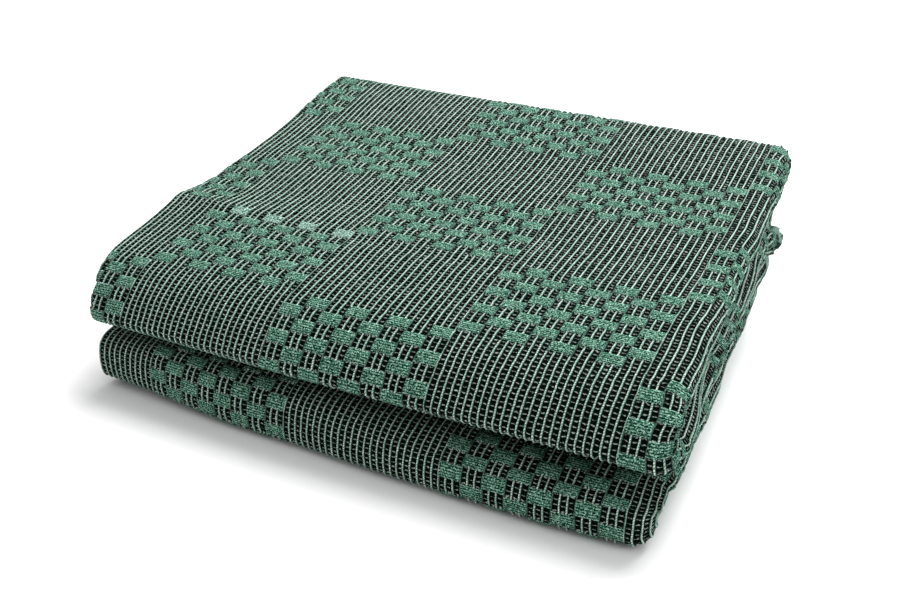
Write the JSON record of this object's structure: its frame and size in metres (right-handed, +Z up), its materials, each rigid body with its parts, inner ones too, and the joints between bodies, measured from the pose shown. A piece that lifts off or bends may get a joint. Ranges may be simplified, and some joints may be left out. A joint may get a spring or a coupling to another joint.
{
  "type": "folded woven ground mat",
  "caption": "Thick woven ground mat folded into a two-part pack that opens like a book on a cloth spine, with ribbed dark weave and raised checker blocks.",
  "frame": {"origin": "on the ground, under the middle of the folded pack", "axes": "+X to the right seen from the two front folds, +Y back to the spine, +Z up"},
  "size_m": [0.5376, 0.4576, 0.1852],
  "materials": {
    "woven_cloth": "coarse foamed-yarn weave, dark with pale ribs and green raised blocks",
    "hem_tape": "folded green hem",
    "hem_thread": "pale green sewing thread"
  },
  "bodies": {
    "lower_half": {"floor_left_fold": "woven_cloth", "floor_panel_1": "woven_cloth", "floor_panel_2": "woven_cloth", "floor_panel_3": "woven_cloth", "floor_panel_4": "woven_cloth", "floor_right_inner_fold": "woven_cloth", "floor_right_outer_fold": "woven_cloth", "lower_flap_end_hem": "hem_tape", "lower_flap_hem_stitches": "hem_thread", "lower_flap_left_fold": "woven_cloth", "lower_flap_panel_1": "woven_cloth", "lower_flap_panel_2": "woven_cloth", "lower_flap_panel_3": "woven_cloth", "lower_flap_panel_4": "woven_cloth", "lower_flap_right_inner_fold": "woven_cloth", "lower_flap_right_outer_fold": "woven_cloth", "lower_front_layer_1": "woven_cloth", "lower_front_layer_2": "woven_cloth", "lower_front_layer_3": "woven_cloth", "lower_front_layer_4": "woven_cloth", "lower_front_left_fold": "woven_cloth", "lower_front_right_inner_fold": "woven_cloth", "lower_front_right_outer_fold": "woven_cloth"},
    "spine": {"spine_layer_1": "woven_cloth", "spine_layer_2": "woven_cloth", "spine_layer_3": "woven_cloth", "spine_layer_4": "woven_cloth", "spine_left_fold": "woven_cloth", "spine_right_inner_fold": "woven_cloth", "spine_right_outer_fold": "woven_cloth"},
    "upper_half": {"top_left_fold": "woven_cloth", "top_panel_1": "woven_cloth", "top_panel_2": "woven_cloth", "top_panel_3": "woven_cloth", "top_panel_4": "woven_cloth", "top_right_inner_fold": "woven_cloth", "top_right_outer_fold": "woven_cloth", "upper_flap_end_hem": "hem_tape", "upper_flap_hem_stitches": "hem_thread", "upper_flap_left_fold": "woven_cloth", "upper_flap_panel_1": "woven_cloth", "upper_flap_panel_2": "woven_cloth", "upper_flap_panel_3": "woven_cloth", "upper_flap_panel_4": "woven_cloth", "upper_flap_right_inner_fold": "woven_cloth", "upper_flap_right_outer_fold": "woven_cloth", "upper_front_layer_1": "woven_cloth", "upper_front_layer_2": "woven_cloth", "upper_front_layer_3": "woven_cloth", "upper_front_layer_4": "woven_cloth", "upper_front_left_fold": "woven_cloth", "upper_front_right_inner_fold": "woven_cloth", "upper_front_right_outer_fold": "woven_cloth"}
  },
  "joints": [
    {"name": "spine_hinge", "type": "hinge", "parent": "lower_half", "child": "spine", "pos_m": [0, 0.22875, 0], "axis": [-1, 0, 0], "range_deg": [0, 90]},
    {"name": "upper_hinge", "type": "hinge", "parent": "spine", "child": "upper_half", "pos_m": [0, 0.22875, 0.19293], "axis": [-1, 0, 0], "range_deg": [0, 100.6]}
  ],
  "couplings": [
    {"joint": "spine_hinge", "follows": "upper_hinge", "ratio": 0.8946}
  ]
}
